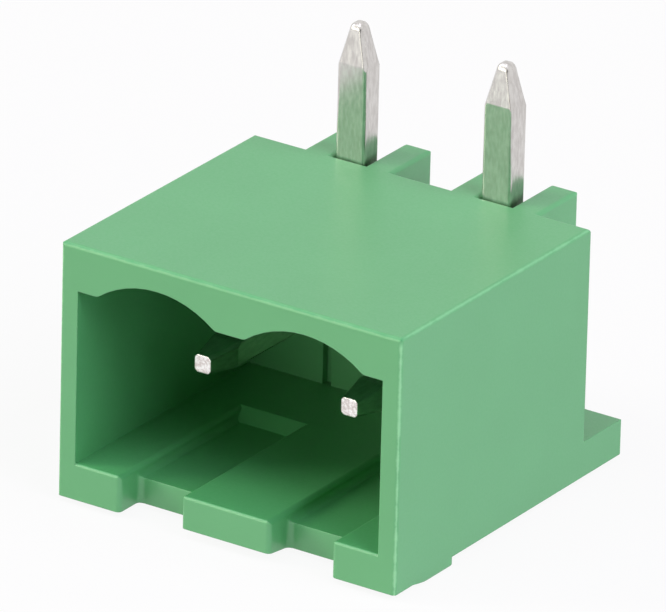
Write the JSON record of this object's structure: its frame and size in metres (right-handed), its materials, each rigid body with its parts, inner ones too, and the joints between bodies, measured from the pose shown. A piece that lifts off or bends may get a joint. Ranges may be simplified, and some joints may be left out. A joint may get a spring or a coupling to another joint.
{
  "type": "right-angle pin header",
  "caption": "Moulded shroud with bent tinned contacts: a pluggable terminal block slides in at the front, and the solder legs stand up from the board face.",
  "frame": {"origin": "under the middle of the part, at the lowest edge of the latch nose", "axes": "+Z towards the circuit board and the solder legs, -Y out of the plug opening, +X along the row of contacts"},
  "size_m": [0.0116, 0.012, 0.0124],
  "materials": {
    "housing_plastic": "moulded polyamide, satin green",
    "contact_tin": "copper alloy wire, matt tin plated"
  },
  "bodies": {
    "root": {"housing": "housing_plastic", "contact_pin_left": "contact_tin", "contact_pin_right": "contact_tin"}
  },
  "joints": []
}
